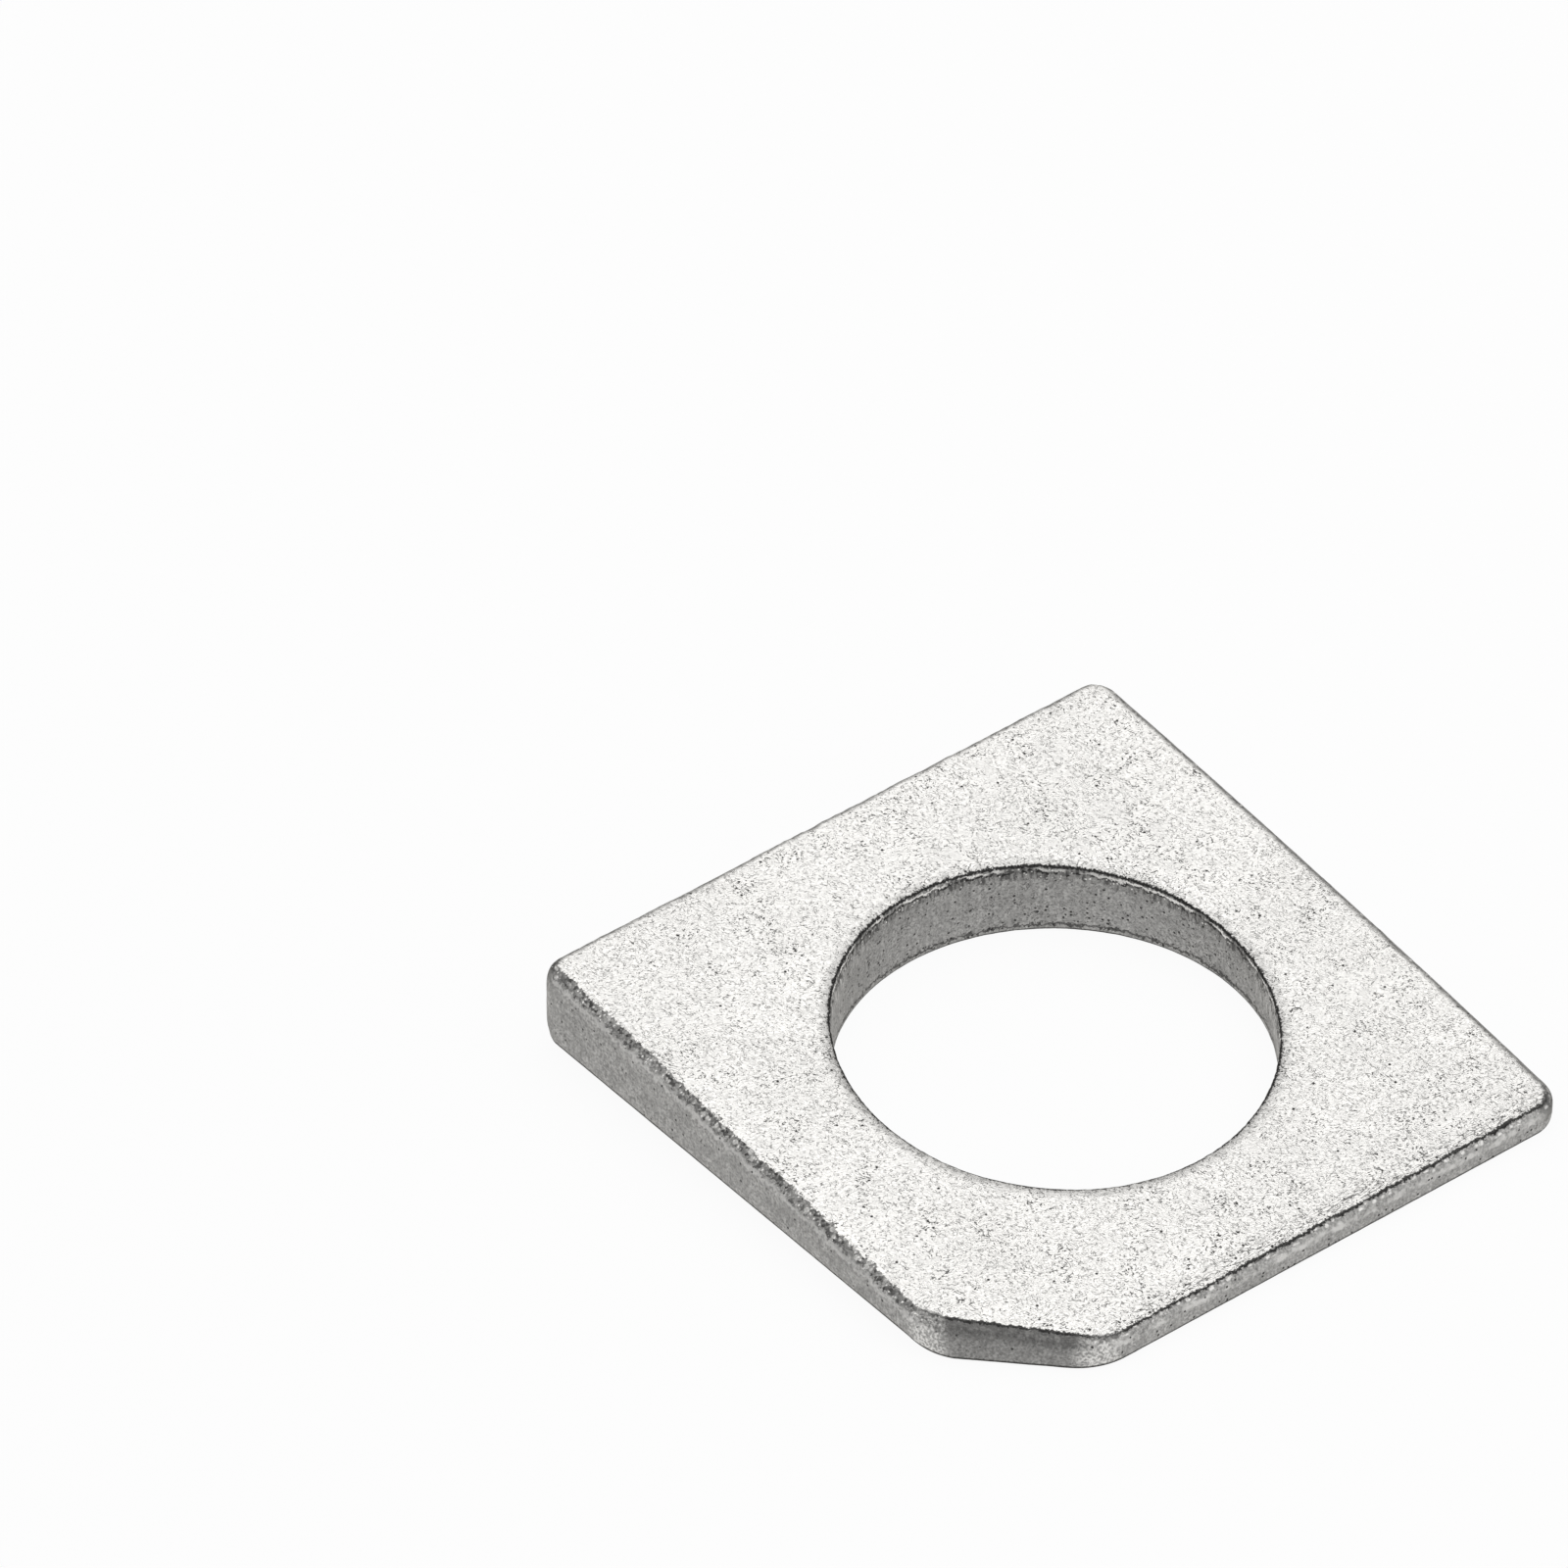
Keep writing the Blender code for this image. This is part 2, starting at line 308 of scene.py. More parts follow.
def outline(inset, radius):
    """The blank's outline in plan, moved in by an amount for each side and rounded at each corner.

    An arc's centre lies the radius inside both moved sides. A point on it is the centre plus the radius times
    the outward direction, which turns evenly from one side's to the next. Along a side it runs straight from
    arc to arc, and the far side stands out by a parabola. Returns the points and the outward directions."""
    heading = np.roll(CORNERS, -1, 0) - CORNERS
    heading /= np.linalg.norm(heading, axis=1)[:, None]
    outward = np.roll(np.stack((heading[:, 1], -heading[:, 0]), 1), 1, 0)
    leaving = np.roll(outward, -1, 0)
    turn = np.arccos(np.sum(outward * leaving, 1))
    moved = np.stack((inset + radius, np.roll(inset, -1) + radius), 1)
    centre = CORNERS - np.linalg.solve(np.stack((outward, leaving), 1), moved[..., None])[..., 0]
    arcs = []
    for i in range(5):
        angle = np.linspace(0.0, turn[i], ARC_STATIONS[i])[:, None]
        across = np.array((-outward[i, 1], outward[i, 0]))
        normal = outward[i] * np.cos(angle) + across * np.sin(angle)
        arcs.append(np.hstack((centre[i] + normal * radius[i], normal)))
    runs = []
    for i in range(5):
        after = (i + 1) % 5
        t = np.linspace(0.0, 1.0, SIDE_STATIONS[i] + 2)[1:-1, None]
        run = arcs[i][-1] * (1 - t) + arcs[after][0] * t
        if after == FAR:
            run[:, :2] += outward[after] * FAR_SIDE_BOW * (1 - (2 * t - 1) ** 2)
        runs += [arcs[i], run]
    line = np.vstack(runs)
    return line[:, :2], line[:, 2:]


def face_edge(inset):
    """The edge of a flat face: the outline moved in by the rim's inset, its corners as much sharper."""
    widest = np.maximum(inset, np.roll(inset, -1))
    return outline(inset, np.maximum(PLAN_RADIUS - widest, LEAST_INSET_RADIUS))[0]


def grid_mesh(name, grid, closed):
    """A mesh from a grid of points. If it is closed, its last row and column join its first ones."""
    rows, columns = grid.shape[:2]
    index = np.arange(rows * columns).reshape(rows, columns)
    right = np.roll(index, -1, 1)
    quads = np.stack((index, right, np.roll(right, -1, 0), np.roll(index, -1, 0)), 2)
    if not closed:
        quads = quads[:-1, :-1]
    mesh = bpy.data.meshes.new(name)
    mesh.from_pydata(grid.reshape(-1, 3), [], quads.reshape(-1, 4))
    mesh.shade_smooth()
    made = bpy.data.objects.new(name, mesh)
    bpy.context.scene.collection.objects.link(made)
    return made


def floor_sheet():
    """The floor: a square grid at height 0, which past the sweep's radius rises as the distance squared."""
    across = np.linspace(-FLOOR_REACH, FLOOR_REACH, FLOOR_STEPS)
    x, y = np.meshgrid(across, across)
    height = FLOOR_RISE * np.maximum(np.hypot(x, y) - SWEEP_RADIUS, 0.0) ** 2 - FLOOR_GAP
    return grid_mesh("floor", np.stack((x, y, height), 2), False)


def row(plan, height, direction, rise, cut):
    """One row of the skin: its points, from their places in plan and their heights, the directions away from
    the metal, from their part in plan and their rise, and how far the row is into a cut wall."""
    height = np.broadcast_to(height, len(plan))
    away = np.hstack((direction * math.sqrt(1 - rise * rise), np.full((len(plan), 1), rise)))
    return np.hstack((plan, height[:, None])), away, cut


def hole_ring(spoke, radius):
    """A circle round the hole's centre: the centre plus the radius along each station's spoke."""
    return HOLE_CENTRE + spoke * radius


def hole_wall_rows(spoke):
    """The hole's lower break, a quarter circle that turns up into the wall, and the wall, straight up."""
    rows = []
    for angle in np.linspace(math.pi / 2, 0.0, BREAK_ROWS):
        plan = hole_ring(spoke, HOLE_RADIUS + BREAK_RADIUS * (1 - math.cos(angle)))
        rows.append(row(plan, BREAK_RADIUS * (1 - math.sin(angle)), -spoke, -math.sin(angle), 1.0))
    wall = hole_ring(spoke, HOLE_RADIUS)
    wall_top = top_height(wall[:, 0]) - DRAW_DEPTH
    for share in np.linspace(1.0, 0.0, WALL_ROWS + 2)[1:-1] ** WALL_CROWDING:
        rows.append(row(wall, BREAK_RADIUS * share + wall_top * (1 - share), -spoke, 0.0, 1.0))
    return rows


def mouth_rows(spoke):
    """The hole's drawn-in mouth: a quarter ellipse, as wide and as deep as the metal is drawn in."""
    rows = []
    for angle in np.linspace(math.pi / 2, 0.0, DRAW_ROWS):
        plan = hole_ring(spoke, HOLE_RADIUS + DRAW_WIDTH * (1 - math.sin(angle)))
        height = top_height(plan[:, 0]) - DRAW_DEPTH * (1 - math.cos(angle))
        steep = math.atan2(DRAW_DEPTH * math.sin(angle), DRAW_WIDTH * math.cos(angle))
        rows.append(row(plan, height, -spoke, math.cos(steep), math.sin(steep)))
    return rows


def top_face_rows(spoke, outward, top_edge):
    """The sloping top face, in even steps from the mouth's circle to the top face's edge."""
    inner = hole_ring(spoke, HOLE_RADIUS + DRAW_WIDTH)
    rows = []
    for share in np.linspace(0.0, 1.0, TOP_ROWS + 2)[1:-1]:
        plan = inner * (1 - share) + top_edge * share
        rows.append(row(plan, top_height(plan[:, 0]), outward, 1.0, 0.0))
    return rows


def rim_rows(point, outward, top_edge):
    """The top rim: a quarter ellipse from the top face's edge out to the outline, falling by the top drop."""
    drop = stations(TOP_DROP)
    rows = []
    for angle in np.linspace(math.pi / 2, 0.0, RIM_ROWS):
        plan = point + (top_edge - point) * (1 - math.cos(angle))
        height = top_height(plan[:, 0]) - drop * (1 - math.sin(angle))
        rows.append(row(plan, height, outward, math.sin(angle), math.cos(angle)))
    return rows


def side_rows(point, outward, bottom_edge):
    """The upright sides, from the top rim straight down, and the bottom rim, a quarter ellipse that turns in
    to the bottom face's edge."""
    rise = stations(BOTTOM_RISE)
    shoulder = top_height(point[:, 0]) - stations(TOP_DROP)
    rows = []
    for share in np.linspace(1.0, 0.0, SIDE_ROWS + 2)[1:-1]:
        rows.append(row(point, rise * (1 - share) + shoulder * share, outward, 0.0, 1.0))
    for angle in np.linspace(0.0, math.pi / 2, FOOT_ROWS):
        plan = point + (bottom_edge - point) * (1 - math.cos(angle))
        rows.append(row(plan, rise * (1 - math.sin(angle)), outward, -math.sin(angle), math.cos(angle)))
    return rows


def underside_rows(spoke, outward, bottom_edge):
    """The flat bottom face, in even steps from its edge to the circle of the hole's lower break."""
    under = hole_ring(spoke, HOLE_RADIUS + BREAK_RADIUS)
    rows = []
    for share in np.linspace(0.0, 1.0, BOTTOM_ROWS + 2)[1:-1]:
        rows.append(row(bottom_edge * (1 - share) + under * share, 0.0, outward, -1.0, 0.0))
    return rows


def section():
    """The washer's skin as a grid: one row for each place on the section, one column for each station.

    A row is a ring round the hole, the outline, or a blend of the two. Returns the points, the directions
    away from the metal, how far each row is into a cut wall (0 on a rolled face, 1 on a wall), and the rows
    at which the hole's mouth, the top face and the outer rim begin."""
    point, outward = outline(np.zeros(5), PLAN_RADIUS)
    place = np.hstack((point, np.zeros((len(point), 1))))
    ragged = stations(RAGGED) * layered(place, RAGGED_EDGE)
    top_edge = face_edge(TOP_INSET) - outward * (stations(TOP_INSET) * ragged)[:, None]
    bottom_edge = face_edge(BOTTOM_INSET)
    spoke = point - HOLE_CENTRE
    spoke /= np.linalg.norm(spoke, axis=1)[:, None]

    rows = hole_wall_rows(spoke)
    mouth_row = len(rows)
    rows += mouth_rows(spoke)
    top_row = len(rows)
    rows += top_face_rows(spoke, outward, top_edge)
    rim_row = len(rows)
    rows += rim_rows(point, outward, top_edge)
    rows += side_rows(point, outward, bottom_edge)
    rows += underside_rows(spoke, outward, bottom_edge)
    points, away, cut = (np.stack(values) for values in zip(*rows))
    return points, away, cut[:, None], mouth_row, top_row, rim_row


def skin_relief(points, away, cut, skirt, reach, bore, side):
    """How far each point is pressed into the metal: the torn band, the nibbled edge above it, the shallow
    waves of the rolled face, the wrinkles along the thin edge and the cut corner, and the walls' dents."""
    top = away[..., 2] > 0.999
    under = away[..., 2] < -0.5
    ragged_reach = reach * (1 + layered(points, TORN_BORDER))
    torn = blend(*TORN_SETS_IN, skirt) * (1 - blend(*TORN_DIES, skirt / ragged_reach))
    torn = torn * ~under * (1 - 0.8 * side[CUT])
    relief = torn * (TORN_DEPTH + CRYSTAL_DEPTH * layered(points, CRYSTALS, np.abs))
    nibbled = blend(*NIBBLE_SETS_IN, skirt + layered(points, NIBBLE_BORDER))
    nibbled = nibbled * (1 - blend(*NIBBLE_DIES, skirt)) * (1 - bore)
    relief += nibbled * layered(points, NIBBLES, pressed_in)
    relief += top * layered(points, ROLLED_WAVES, pressed_in)
    wrinkle = 1 + layered(points * WRINKLE_STRETCH, EDGE_WRINKLES) * side[THIN]
    relief += WRINKLE_DEPTH * top * wrinkle * (1 - blend(*WRINKLE_DIES, -skirt)) * (side[THIN] + side[CUT])
    relief += cut * (1 - torn) * layered(points, WALL_DENTS, pressed_in)
    return relief


def washer():
    """The washer's skin with its relief, which only ever goes into the metal, and the marks of its points.

    Skirt is the distance along the section from the top face's nearer edge, outwards and down, and reach is
    how far down the torn band goes there. Foot is the height over the line of painted shade along the foot.
    All three are in millimetres. The others run from 0 to 1: bore in the hole and on its mouth, thin on the
    thin side, corner on the cut one, back on the thick and far ones, glint at the cut's two ends, where a
    painted glint goes, and dusk at the corner between the thick and near sides and at the one between the
    thin and far sides, where painted shade goes."""
    points, away, cut, mouth_row, top_row, rim_row = section()
    bore = (np.arange(len(points))[:, None] < top_row) * 1.0
    side = np.moveaxis(stations(np.eye(5)), -1, 0)[:, None, :]
    step = np.linalg.norm(np.diff(points, axis=0), axis=2)
    length = np.vstack((np.zeros((1, step.shape[1])), np.cumsum(step, axis=0)))
    up_the_mouth = length[mouth_row] + MOUTH_EDGE - length
    down_the_rim = length - length[rim_row] - stations(WALL_START)
    skirt = np.maximum(up_the_mouth, down_the_rim)
    reach = np.where(bore > 0.5, BORE_TORN_REACH, stations(TORN_REACH))

    points = points - away * skin_relief(points, away, cut, skirt, reach, bore, side)[..., None]
    points[..., 2] = np.minimum(points[..., 2], TALLEST)
    foot = points[..., 2] - np.where(bore > 0.5, BORE_FOOT_SHADE_LINE, stations(FOOT_SHADE_LINE))
    outer = 1 - bore
    values = {
        "bore": bore, "skirt": skirt, "reach": reach, "foot": foot,
        "corner": side[CUT] * outer,
        "thin": side[THIN] * outer,
        "glint": 4 * side[CUT] * (side[NEAR] + side[THIN]) * outer,
        "dusk": 4 * (side[THICK] * side[NEAR] + side[THIN] * side[FAR]) * outer,
        "back": (side[THICK] + side[FAR]) * outer}

    made = grid_mesh("washer_skin", points * MM, True)
    for name in MARKS:
        layer = made.data.attributes.new(name, "FLOAT", "POINT")
        spread = np.broadcast_to(values[name], skirt.shape)
        layer.data.foreach_set("value", spread.astype(np.float32).ravel())
    return made


class Link:
    """One output socket in a material's node tree. Arithmetic with numbers and links adds Math nodes."""

    def __init__(self, tree, socket=None):
        self.tree = tree
        self.socket = socket

    def node(self, kind, settings=(), inputs=(), output=0):
        """A new node of that kind: first its settings, then its sockets, each given a value or a link."""
        made = self.tree.nodes.new(kind)
        for name, value in dict(settings).items():
            setattr(made, name, value)
        for name, value in dict(inputs).items():
            if isinstance(value, Link):
                self.tree.links.new(value.socket, made.inputs[name])
            else:
                made.inputs[name].default_value = value
        return Link(self.tree, made.outputs[output] if len(made.outputs) else None)

    def beside(self, output):
        """Another output of the same node."""
        return Link(self.tree, self.socket.node.outputs[output])

    def math(self, operation, first, second):
        return self.node("ShaderNodeMath", {"operation": operation}, {0: first, 1: second})

    def __add__(self, other):
        return self.math("ADD", self, other)

    def __radd__(self, other):
        return self.math("ADD", other, self)

    def __sub__(self, other):
        return self.math("SUBTRACT", self, other)

    def __rsub__(self, other):
        return self.math("SUBTRACT", other, self)

    def __mul__(self, other):
        return self.math("MULTIPLY", self, other)

    def __rmul__(self, other):
        return self.math("MULTIPLY", other, self)

    def __truediv__(self, other):
        return self.math("DIVIDE", self, other)

    def __gt__(self, other):
        return self.math("GREATER_THAN", self, other)


def between(value, low, high):
    """From 0 at low to 1 at high, smoothly, as a link."""
    return value.node("ShaderNodeMapRange", {"interpolation_type": "SMOOTHSTEP"},
                      {"Value": value, "From Min": low, "From Max": high})


def band(value, low, high, soft):
    """1 from low to high, falling to 0 over a soft border on either side."""
    return between(value, low - soft, low + soft) * (1 - between(value, high - soft, high + soft))


def absolute(value):
    return value.math("ABSOLUTE", value, 0.0)


def larger(first, *others):
    """The largest of several links."""
    for other in others:
        first = first.math("MAXIMUM", first, other)
    return first


def winding(value, low, high):
    """Thin winding lines: 1 where a smooth noise crosses its middle, and 0 where it is away from it."""
    return 1 - between(absolute(value - 0.5), low, high)


def spots(cells, size, limit):
    """Round spots at the middles of those cells whose random number is over the limit."""
    pick, distance = cells
    return (1 - between(distance, *size)) * (pick > limit)


def colour_mix(factor, first, second):
    return factor.node("ShaderNodeMix", {"data_type": "RGBA", "blend_type": "MIX", "clamp_factor": True},
                       {0: factor, 6: first, 7: second}, 2)


def grey(level):
    return (level, level, level, 1.0)


def zinc(level):
    """A grey with the faint warmth of zinc."""
    return (level, 0.986 * level, 0.958 * level, 1.0)


def painted(colour, *layers):
    """A colour with layers over it, each given as how far it covers and its grey of zinc, the last on top."""
    for cover, level in layers:
        colour = colour_mix(cover, colour, zinc(level))
    return colour


def new_material(name):
    material = bpy.data.materials.new(name)
    material.use_nodes = True
    material.node_tree.nodes.clear()
    return material, Link(material.node_tree)


class Surface:
    """What the parts of the washer's finish share, as links: the place and the marks of a point, a few
    noises, and masks for the walls, the rolled face and the torn band, whose borders the coarse and fine
    noises make ragged."""

    def __init__(self, link):
        self.place = link.node("ShaderNodeTexCoord", output="Object")
        for name in MARKS:
            setattr(self, name, link.node("ShaderNodeAttribute", {"attribute_name": name}, output="Fac"))
        self.x = link.node("ShaderNodeSeparateXYZ", (), {0: self.place})
        self.y = self.x.beside(1)
        self.z = self.x.beside(2)
        self.coarse = self.noise("coarse") - 0.5
        self.fine = self.noise("fine") - 0.5
        self.sharp = larger(self.corner, self.thin)
        ragged = self.skirt + (1 - 0.7 * self.sharp) * (0.45 * self.coarse + 0.6 * self.fine)
        self.depth = (ragged + 0.6 * self.coarse) / self.reach
        self.wall = between(ragged, *WALL_BORDER)
        self.torn = self.wall * (1 - between(self.depth, *TORN_BORDER_BELOW)) * (1 - 0.9 * self.corner)
        self.face = 1 - self.wall
        self.broken = between(self.noise("broken"), *BROKEN)
        self.streak = self.noise("streak")
        self.speckle = 0.75 * self.noise("speckle") + 0.25 * self.streak
        self.patch = between(self.noise("patch") - 0.14 * between(self.x, *MIDDLE_OF_SLOPE), *BRIGHT_PATCH)

    def noise(self, name):
        """One of the NOISES, from 0 to 1."""
        return self.cloud(*NOISES[name])

    def cloud(self, scale, detail, twist=0.0, stretch=None, turn=0.0):
        """Smooth noise from 0 to 1, given by the numbers that NOISES lists."""
        place = self.place
        if stretch:
            place = place.node("ShaderNodeMapping", {"vector_type": "TEXTURE"}, {
                "Vector": place, "Scale": stretch, "Rotation": (0.0, 0.0, math.radians(turn))})
        return place.node("ShaderNodeTexNoise", {"noise_dimensions": "3D"}, {
            "Vector": place, "Scale": scale, "Detail": detail, "Distortion": twist}, "Fac")

    def cells(self, name):
        """For one of the CELLS, a random number from 0 to 1 for each, and the distance from its middle."""
        distance = self.place.node("ShaderNodeTexVoronoi", {"feature": "F1"}, {
            "Vector": self.place, "Scale": CELLS[name]}, "Distance")
        return distance.node("ShaderNodeSeparateColor", (), {0: distance.beside("Color")}), distance


def grain(at):
    """The plated grain: winding strokes, each in a shallow groove, broken up, crowded in places and a little
    more so beside the thin edge, and missing from calm patches. Hairs and the thin edge's wrinkles join them.

    Returns the folds that the strokes follow, the grooves, the strokes, where they crowd, and the calm."""
    crowd = at.noise("crowd") + 0.06 * between(at.x, *NEAR_THIN_EDGE)
    cluster = between(crowd, *CLUSTERED) * at.broken
    calm = between(at.noise("calm"), *CALM) * at.face * (1 - 0.7 * between(crowd, *DENSE))
    marked = at.broken * (0.74 + 0.26 * cluster) * (1 - calm)
    leaning = between(at.noise("leaning"), *LEANING)
    folds = at.noise("folds") * leaning + at.noise("leaning_folds") * (1 - leaning)
    middle = absolute(folds - 0.5)
    groove = (1 - between(middle, *GROOVE_WIDTH)) * (0.4 + 0.6 * marked)
    stroke = (1 - between(middle - 0.014 * cluster, *STROKE_WIDTH)) * marked
    hair = winding(at.noise("hair"), *HAIR_WIDTH) * (0.14 + 0.20 * at.broken) * (1 - calm)
    wrinkle = winding(at.noise("wrinkle"), *WRINKLE_WIDTH) * at.thin * band(at.skirt, *THIN_WRINKLE_BAND)
    return folds, groove, larger(stroke, hair, wrinkle * 0.85), cluster, calm


def small_pits(at, cluster):
    """Small dark pits: on the face more where the strokes crowd, and on the walls more in the hole."""
    on_face = spots(at.cells("face_pits"), FACE_PIT_SIZE, 0.96 - 0.34 * cluster)
    on_wall = spots(at.cells("wall_pits"), WALL_PIT_SIZE, 0.86 - 0.24 * at.bore)
    return on_face * at.face + on_wall * at.wall * (1 - at.torn)


def painted_shade_lines(at, wave, wander):
    """How far dark lines cover the metal, most of them painted shade: shade in the crease below the top face
    along the thin edge and the cut corner, two ragged lines of shade round the hole's mouth, a dark ragged
    line along the burr at the foot of its wall, and shade along the foot of the other walls, apart from the
    two sides at the back."""
    # Painted shade in the crease below the top face and along two ragged lines round the hole's mouth
    crease = at.sharp * band(at.skirt + 0.44 * at.coarse + 0.44 * at.fine, *CREASE_SHADE_BAND)
    lower_mouth_shade = band(wander, *LOWER_MOUTH_SHADE_BAND) * (0.4 + 0.6 * at.broken)
    mouth = at.bore * larger(band(wave, *MOUTH_SHADE_BAND), lower_mouth_shade)
    burr = at.bore * band(at.z / MM + 0.9 * at.coarse + 0.5 * at.fine, *BURR_BAND)
    # Painted shade along the foot of the walls: strongest just under the line, weaker further down
    below = 1 - between(at.foot + 0.12 * at.fine, *FOOT_SHADE_BORDER)
    foot_shade = below * (0.40 + 0.60 * between(at.foot, *FOOT_SHADE_FADE)) * at.wall
    return larger(crease, mouth, burr * 0.8, foot_shade * (1 - between(at.back, *BACK_BORDER)))


def painted_highlights(at, wave, wander):
    """How far painted highlights cover the metal: a bright line along the top face's edge over the cut
    corner's crease, bright dots under the thin edge's crease and on the torn band, a band between the hole's
    two dark lines, stronger away from its middle, and streaks at the hole's two ends as the camera sees it."""
    # Painted highlight along the top face's edge over the cut corner's crease
    lip_highlight = at.corner * band(wave, *LIP_HIGHLIGHT_BAND)
    # Bright dots painted as highlights under the thin edge's crease and on the torn band
    pick, distance = at.cells("bead_highlights")
    on_thin = at.thin * band(at.skirt, *THIN_BEAD_BAND)
    on_torn = at.torn * (pick > 0.70) * (1 - at.bore) * 0.7
    bead_highlights = spots((pick, distance), BEAD_SIZE, 0.25) * larger(on_thin, on_torn)
    sideways = absolute(SIDEWAYS[0] * at.x + SIDEWAYS[1] * (at.y - float(HOLE_CENTRE[1]) * MM))
    patchy = between(at.noise("patchy"), *PATCHY)
    # Painted highlight between the hole's two dark lines
    mouth_highlight = at.bore * band(wander, *MOUTH_HIGHLIGHT_BAND) * patchy * (0.6 + 0.4 * between(sideways, *BESIDE_MIDDLE))
    # Painted highlight streaks at the hole's two ends as the camera sees them
    end_highlight = at.bore * between(sideways, *ENDS_OF_HOLE) * between(at.streak, *END_HIGHLIGHT_STREAK)
    return larger(lip_highlight, bead_highlights * 0.9, mouth_highlight, end_highlight * band(at.skirt, *END_HIGHLIGHT_BAND) * 0.4)


def face_colour(at, stroke, calm):
    """The rolled face: brighter in wide patches, calm in small ones, with painted shade on the slope down
    into the hole, and with strokes.
    """
    # Painted shade on the drawn-in slope round the hole, darkest towards its edge
    draw_shade = at.bore * between(at.skirt + 2.2 * at.coarse, *DRAW_SHADE_BORDER) * at.face
    return painted(
        colour_mix(at.patch, zinc(DULL_FACE), zinc(BRIGHT_FACE)),
        (calm, CALM_FACE),
        (draw_shade * 0.45, DRAW_SHADE_GREY),
        (stroke * 0.96, STROKE_GREY))


def wall_colour(at, stroke):
    """The walls: speckled and dulled in patches, with painted shade in the hole, faint strokes, painted shade
    on the cut corner, most so at its top, a painted highlight just below the torn band, a painted glint at
    the cut's ends and painted highlights in patches low on the thin edge."""
    wall_patch = at.noise("wall_patch")
    shade = at.corner * (0.45 + 0.55 * (1 - between(at.skirt + 0.6 * at.coarse, *CORNER_SHADE_BORDER)))
    # Painted highlight just below the torn band, standing in for metal that bulges out there and catches the
    # light
    ridge_highlight = band(at.depth, *RIDGE_HIGHLIGHT_BAND) * at.wall * (1 - at.sharp) * (1 - at.bore)
    # Painted glint at the two ends of the cut corner
    glint = at.glint * (0.15 + 0.85 * between(at.speckle, *GLINT_SPECKLE)) * between(at.skirt, *GLINT_BORDER)
    # Painted highlight in patches low on the thin edge, where it would reflect the floor farther out
    thin_highlight = at.thin * band(at.skirt + 0.8 * at.coarse, *THIN_HIGHLIGHT_BAND)
    return painted(
        colour_mix(between(at.speckle, *LIGHT_SPECKLE), zinc(DARK_WALL), zinc(LIGHT_WALL)),
        (between(wall_patch, *DULL_WALL_PATCH) * 0.40, PATCH_GREY),
        # Painted shade in the hole
        (at.bore * 0.22, BORE_SHADE_GREY),
        (stroke * (0.45 + 0.4 * at.bore), WALL_STROKE_GREY),
        (shade * 0.80, SHADE_GREY),
        (ridge_highlight * 0.6, RIDGE_HIGHLIGHT_GREY),
        (glint, GLINT_GREY),
        (thin_highlight * between(wall_patch, *THIN_EDGE_PATCH), THIN_HIGHLIGHT_GREY))


def torn_colour(at, facet):
    """The torn band: a grey of its own for each broken crystal, and drag streaks in the hole."""
    crystals = colour_mix(facet, zinc(DARK_CRYSTAL), zinc(LIGHT_CRYSTAL))
    drag = colour_mix(between(at.streak, *LIGHT_STREAK), zinc(DARK_DRAG), zinc(LIGHT_DRAG))
    return colour_mix(at.bore, crystals, drag)


def zinc_plated_steel():
    """Bright zinc over rolled, sheared and punched steel: the face, the walls and the torn band, and over
    them painted shade at two corners and along the back rims, the pits, the sparks of broken crystals, their
    bright facets painted as highlights, and the lines of painted shade and of painted highlights."""
    material, link = new_material("zinc_plated_steel")
    at = Surface(link)
    folds, groove, stroke, cluster, calm = grain(at)
    pits = small_pits(at, cluster)
    facet, facet_distance = at.cells("crystals")
    # Sparks: smooth facets of broken crystals, their brightness painted as highlights
    spark = spots((facet, facet_distance), SPARK_SIZE, 0.76) * at.torn
    wave = at.skirt + 0.30 * at.fine + 0.28 * at.coarse
    wander = at.skirt + 0.9 * (at.noise("wander") - 0.5) + 0.40 * at.fine

    metal = colour_mix(at.wall, face_colour(at, stroke, calm), wall_colour(at, stroke))
    colour = painted(
        colour_mix(at.torn, metal, torn_colour(at, facet)),
        # Painted shade at the tops of the corners between the thick and near sides and between the thin and
        # far sides
        (at.dusk * band(at.skirt + 0.8 * at.coarse, *ARC_SHADE_BAND) * 0.75, ARC_SHADE_GREY),
        # Painted shade along the top rims of the thick and far sides
        (at.back * band(at.skirt + 0.3 * at.coarse, *BACK_RIM_SHADE_BAND) * 0.62, BACK_RIM_SHADE_GREY),
        (pits, PIT_GREY),
        (spark, SPARK_GREY),
        (painted_shade_lines(at, wave, wander) * 0.95, SHADE_LINE_GREY),
        (painted_highlights(at, wave, wander) * 0.9, HIGHLIGHT_GREY))

    roughness = 0.25 + 0.06 * at.patch + 0.18 * at.wall + 0.15 * pits - 0.2 * spark
    relief = (0.14 * folds - 0.24 * groove) * (at.face + 0.5 * at.wall) - pits * 0.4
    relief = relief + (facet * 0.8 - facet_distance * 0.6) * at.torn + 0.35 * at.speckle * at.wall
    bump = link.node("ShaderNodeBump", (), {"Strength": 1.0, "Distance": BUMP_HEIGHT, "Height": relief})
    shader = link.node("ShaderNodeBsdfPrincipled", (), {
        "Base Color": colour, "Metallic": 1.0, "Roughness": roughness, "Specular Tint": zinc(GLANCING_GREY),
        "Normal": bump})
    link.node("ShaderNodeOutputMaterial", (), {"Surface": shader})
    return material


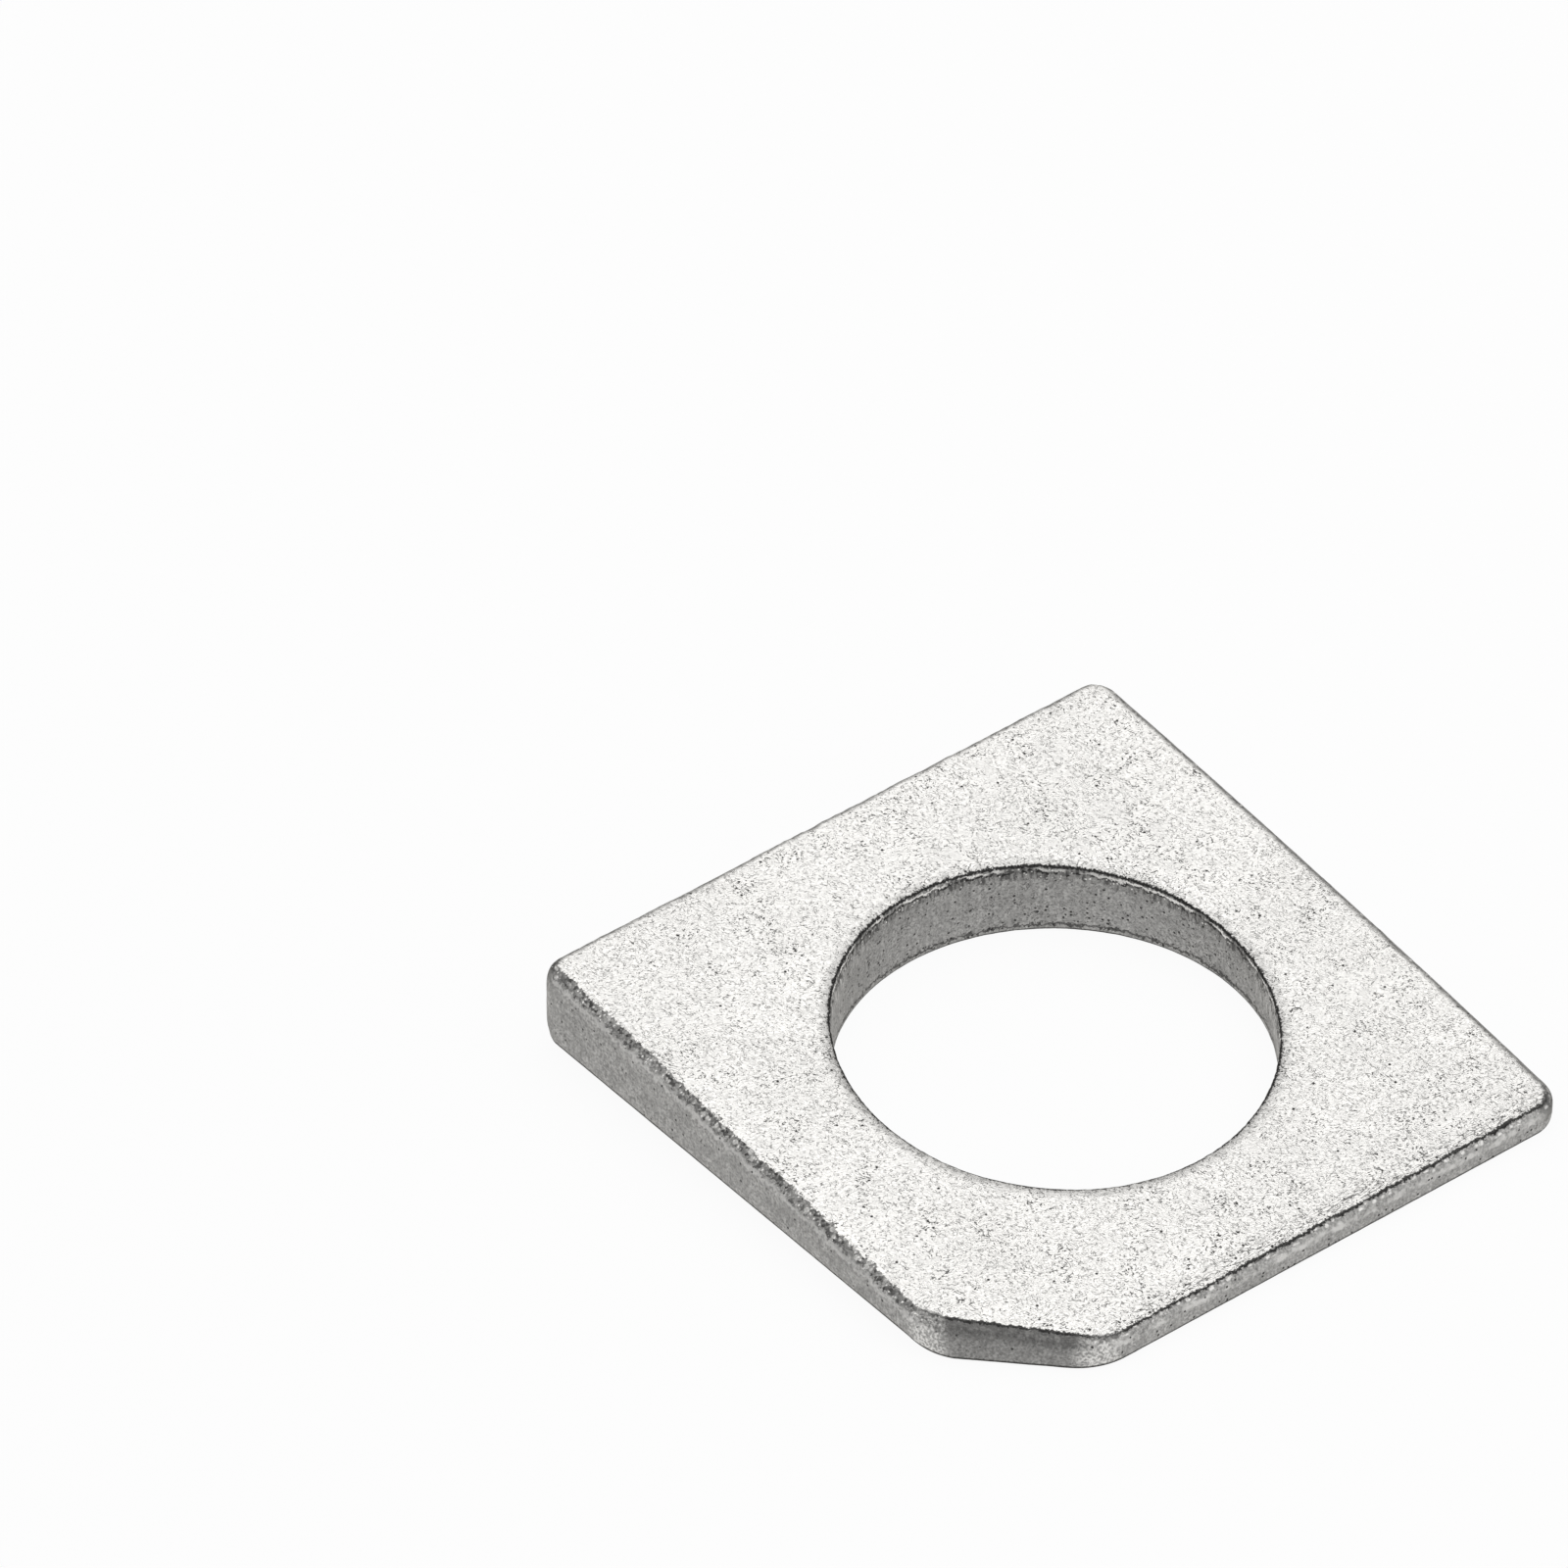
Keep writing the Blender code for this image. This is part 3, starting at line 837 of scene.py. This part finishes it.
def floor_paint():
    """Matt pale paint. Where the camera or a reflection looks at it, most of what shows is plain white."""
    material, link = new_material("floor_paint")
    rays = ("Is Camera Ray", "Is Glossy Ray", "Is Transmission Ray")
    looked_at = larger(*[link.node("ShaderNodeLightPath", output=name) for name in rays])
    paint = link.node("ShaderNodeBsdfDiffuse", (), {"Color": grey(FLOOR_GREY)})
    white = link.node("ShaderNodeEmission", (), {"Color": grey(1.0), "Strength": 1.0})
    shader = link.node("ShaderNodeMixShader", (), {0: looked_at * FLOOR_WHITE, 1: paint, 2: white})
    link.node("ShaderNodeOutputMaterial", (), {"Surface": shader})
    return material


def add_camera():
    back = Vector((
        math.sin(CAMERA_AZIMUTH) * math.cos(CAMERA_ELEVATION),
        -math.cos(CAMERA_AZIMUTH) * math.cos(CAMERA_ELEVATION),
        math.sin(CAMERA_ELEVATION)))
    right = Vector((0.0, 0.0, 1.0)).cross(back).normalized()
    up = back.cross(right)
    turn = Matrix.Rotation(-CAMERA_ROLL, 3, back)
    right, up = turn @ right, turn @ up
    data = bpy.data.cameras.new("camera")
    data.lens = CAMERA_LENS
    data.sensor_width = SENSOR_WIDTH
    camera = bpy.data.objects.new("camera", data)
    place = right * CAMERA_RIGHT + up * CAMERA_UP + back * CAMERA_DISTANCE
    camera.matrix_world = Matrix.Translation(place) @ Matrix((right, up, back)).transposed().to_4x4()
    bpy.context.scene.collection.objects.link(camera)
    bpy.context.scene.camera = camera


def softbox(name, direction, distance, width, length, radiance):
    """A flat lamp that faces the washer. Its power is its radiance times pi times its area."""
    data = bpy.data.lights.new(name, "AREA")
    data.shape = "RECTANGLE"
    data.size = width
    data.size_y = length
    data.energy = radiance * math.pi * width * length
    lamp = bpy.data.objects.new(name, data)
    away = Vector(direction).normalized()
    lamp.location = away * distance
    lamp.rotation_euler = away.to_track_quat("Z", "Y").to_euler()
    bpy.context.scene.collection.objects.link(lamp)


def add_light():
    world = bpy.data.worlds.new("studio")
    world.use_nodes = True
    background = world.node_tree.nodes["Background"]
    background.inputs["Color"].default_value = grey(WORLD_GREY)
    background.inputs["Strength"].default_value = 1.0
    bpy.context.scene.world = world
    for name, lamp in LAMPS.items():
        softbox(name, *lamp)


add_camera()
add_light()
bpy.context.scene.view_settings.view_transform = "Standard"

skin = washer()
skin.data.materials.append(zinc_plated_steel())
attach(skin, "root")
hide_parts("taper_washer")

floor = floor_sheet()
floor.data.materials.append(floor_paint())
